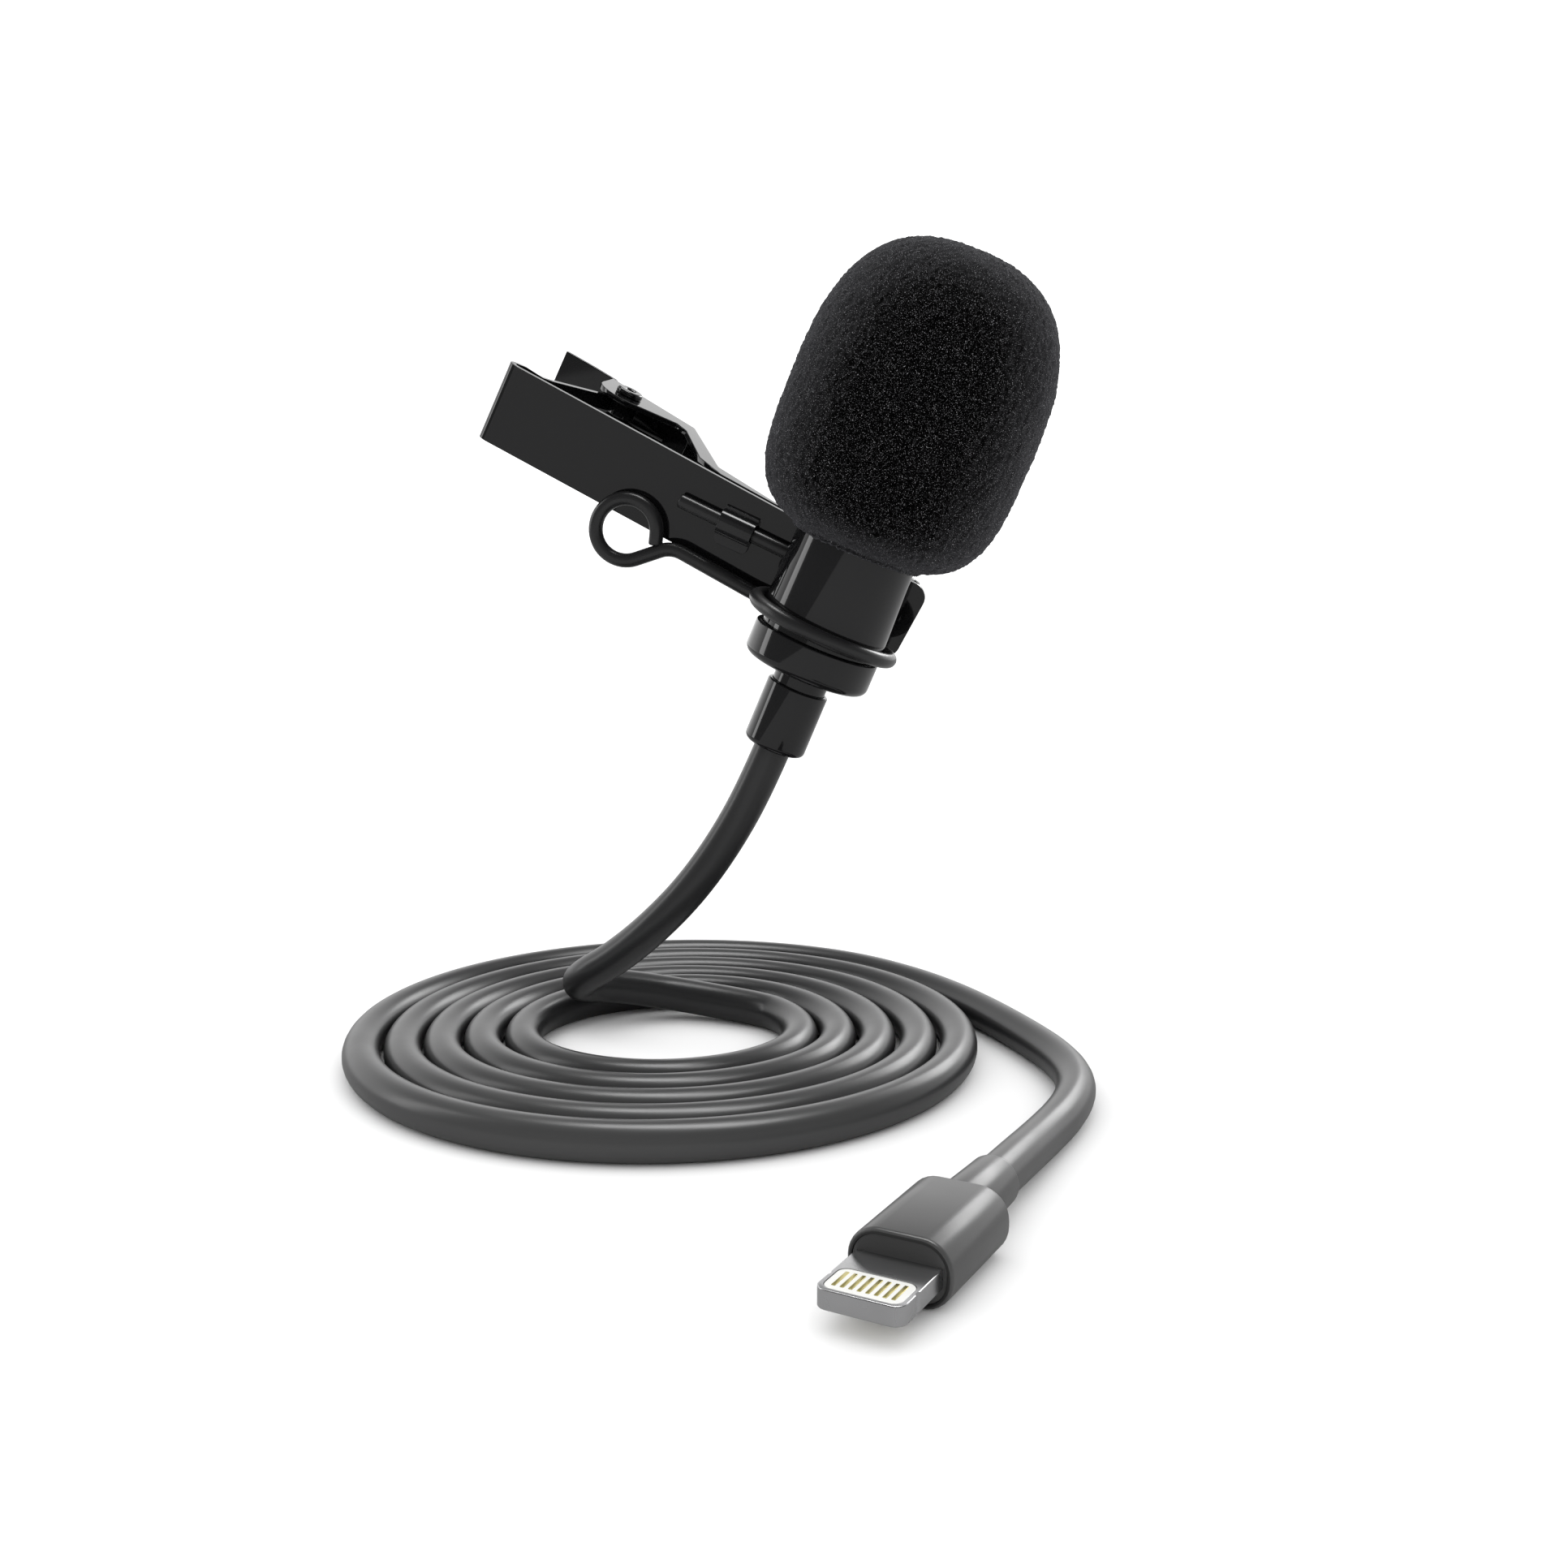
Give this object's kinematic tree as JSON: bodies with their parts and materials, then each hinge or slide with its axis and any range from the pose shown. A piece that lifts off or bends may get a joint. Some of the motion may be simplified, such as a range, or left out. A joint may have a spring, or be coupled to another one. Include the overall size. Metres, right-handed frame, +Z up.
{
  "type": "lavalier microphone",
  "caption": "Clip-on lavalier microphone: foam windscreen and slim barrel held by a wire ring on a spring clip, with a coiled cord to a flat-blade plug.",
  "frame": {"origin": "bite point of the clip's jaw, on the back face of its bar", "axes": "+Z up in use, +X to the right along the clip, +Y away from the wearer's front towards the garment; the bar, and the barrel, lean as they are held"},
  "size_m": [0.0758, 0.0995, 0.082],
  "materials": {
    "mic_barrel": "gloss black enamel",
    "front_grille": "satin black",
    "grille_felt": "thin felt disc",
    "capsule_can": "plain rolled aluminium",
    "capsule_gasket": "soft rubber sleeve",
    "preamp_board": "solder-mask green",
    "board_parts": "moulded components",
    "capsule_wires": "enamelled copper",
    "cord_cores": "insulated cores",
    "cord_crimp": "plain brass",
    "base_collar": "gloss black enamel",
    "strain_relief_sleeve": "gloss black moulding",
    "cable_jacket_end": "satin black jacket",
    "cable_drop": "satin black jacket",
    "cable_coil": "satin black jacket",
    "cable_lead": "satin black jacket",
    "plug_overmold": "satin dark grey moulding",
    "plug_face": "dark grey face",
    "plug_boot": "satin dark grey moulding",
    "plug_blade": "satin stainless steel",
    "contact_carrier": "white moulding",
    "contacts_top": "thin gold plating",
    "contacts_bottom": "thin gold plating",
    "plug_board": "solder-mask green",
    "interface_chip": "black chip package",
    "plug_cores": "insulated cores",
    "clip_front_bar": "gloss black plated sheet",
    "swivel_saddle": "gloss black plated sheet",
    "hinge_pin": "black plated steel",
    "torsion_spring": "dark spring wire",
    "clip_lever": "gloss black plated sheet",
    "wire_ring": "gloss black plated spring wire",
    "windscreen_foam": "open-cell black foam with a fine fuzzy skin"
  },
  "bodies": {
    "microphone": {"mic_barrel": "mic_barrel", "front_grille": "front_grille", "grille_felt": "grille_felt", "capsule_can": "capsule_can", "capsule_gasket": "capsule_gasket", "preamp_board": "preamp_board", "board_parts": "board_parts", "capsule_wires": "capsule_wires", "cord_cores": "cord_cores", "cord_crimp": "cord_crimp", "base_collar": "base_collar", "strain_relief_sleeve": "strain_relief_sleeve", "cable_jacket_end": "cable_jacket_end", "cable_drop": "cable_drop", "cable_coil": "cable_coil", "cable_lead": "cable_lead", "plug_overmold": "plug_overmold", "plug_face": "plug_face", "plug_boot": "plug_boot", "plug_blade": "plug_blade", "contact_carrier": "contact_carrier", "contacts_top": "contacts_top", "contacts_bottom": "contacts_bottom", "plug_board": "plug_board", "interface_chip": "interface_chip", "plug_cores": "plug_cores"},
    "ring": {"wire_ring": "wire_ring"},
    "clip": {"clip_front_bar": "clip_front_bar", "swivel_saddle": "swivel_saddle", "hinge_pin": "hinge_pin", "torsion_spring": "torsion_spring"},
    "lever": {"clip_lever": "clip_lever"},
    "windscreen": {"windscreen_foam": "windscreen_foam"}
  },
  "joints": [
    {"name": "ring_turn", "type": "hinge", "parent": "microphone", "child": "ring", "pos_m": [-0.00151, -0.00853, -0.00375], "axis": [0.3794, -0.099, 0.9199], "continuous": true},
    {"name": "clip_swing", "type": "hinge", "parent": "ring", "child": "clip", "pos_m": [-0.0105, -0.00063, 0.00597], "axis": [0.8976, -0.0813, -0.4332], "range_deg": [-5, 20]},
    {"name": "jaw_open", "type": "hinge", "parent": "clip", "child": "lever", "pos_m": [-0.02486, 0.01557, 0.01705], "axis": [0.4459, -0.2342, 0.8639], "range_deg": [0, 16], "stiffness_Nm_per_rad": 0.25, "springref_deg": -22.92, "deforming": ["torsion_spring"]},
    {"name": "windscreen_pull", "type": "slide", "parent": "microphone", "child": "windscreen", "axis": [0.3794, -0.099, 0.9199], "range_m": [0, 0.03]}
  ]
}
